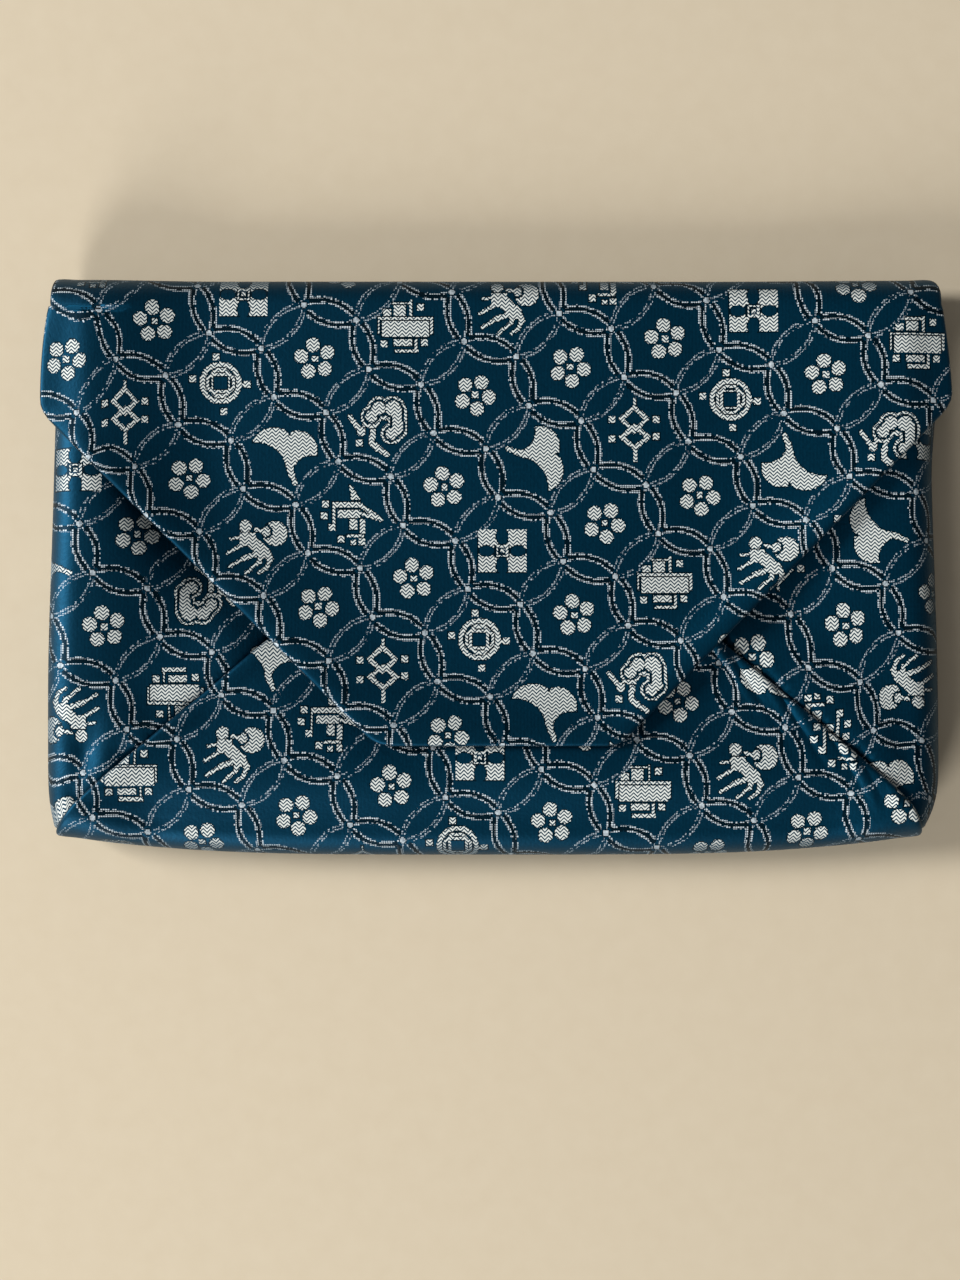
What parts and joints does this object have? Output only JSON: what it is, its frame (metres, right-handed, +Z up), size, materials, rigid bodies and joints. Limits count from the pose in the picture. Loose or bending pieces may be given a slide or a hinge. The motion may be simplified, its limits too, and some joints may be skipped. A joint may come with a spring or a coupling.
{
  "type": "teaware pouch",
  "caption": "Flat envelope pouch of lined brocade, lying on its back, with side and bottom panels folded over the front, slanting corner seams and a long flap with a cut-off tip.",
  "frame": {"origin": "under the middle of the pouch, on the surface that its back panel lies on", "axes": "+X across the pouch, +Y towards the top fold, +Z up through its thickness, from the back panel to the flap"},
  "size_m": [0.2366, 0.1514, 0.0192],
  "materials": {
    "brocade": "satin woven brocade, deep teal navy with a cream woven ring pattern"
  },
  "bodies": {
    "root": {"pouch_cloth": "brocade"}
  },
  "joints": []
}
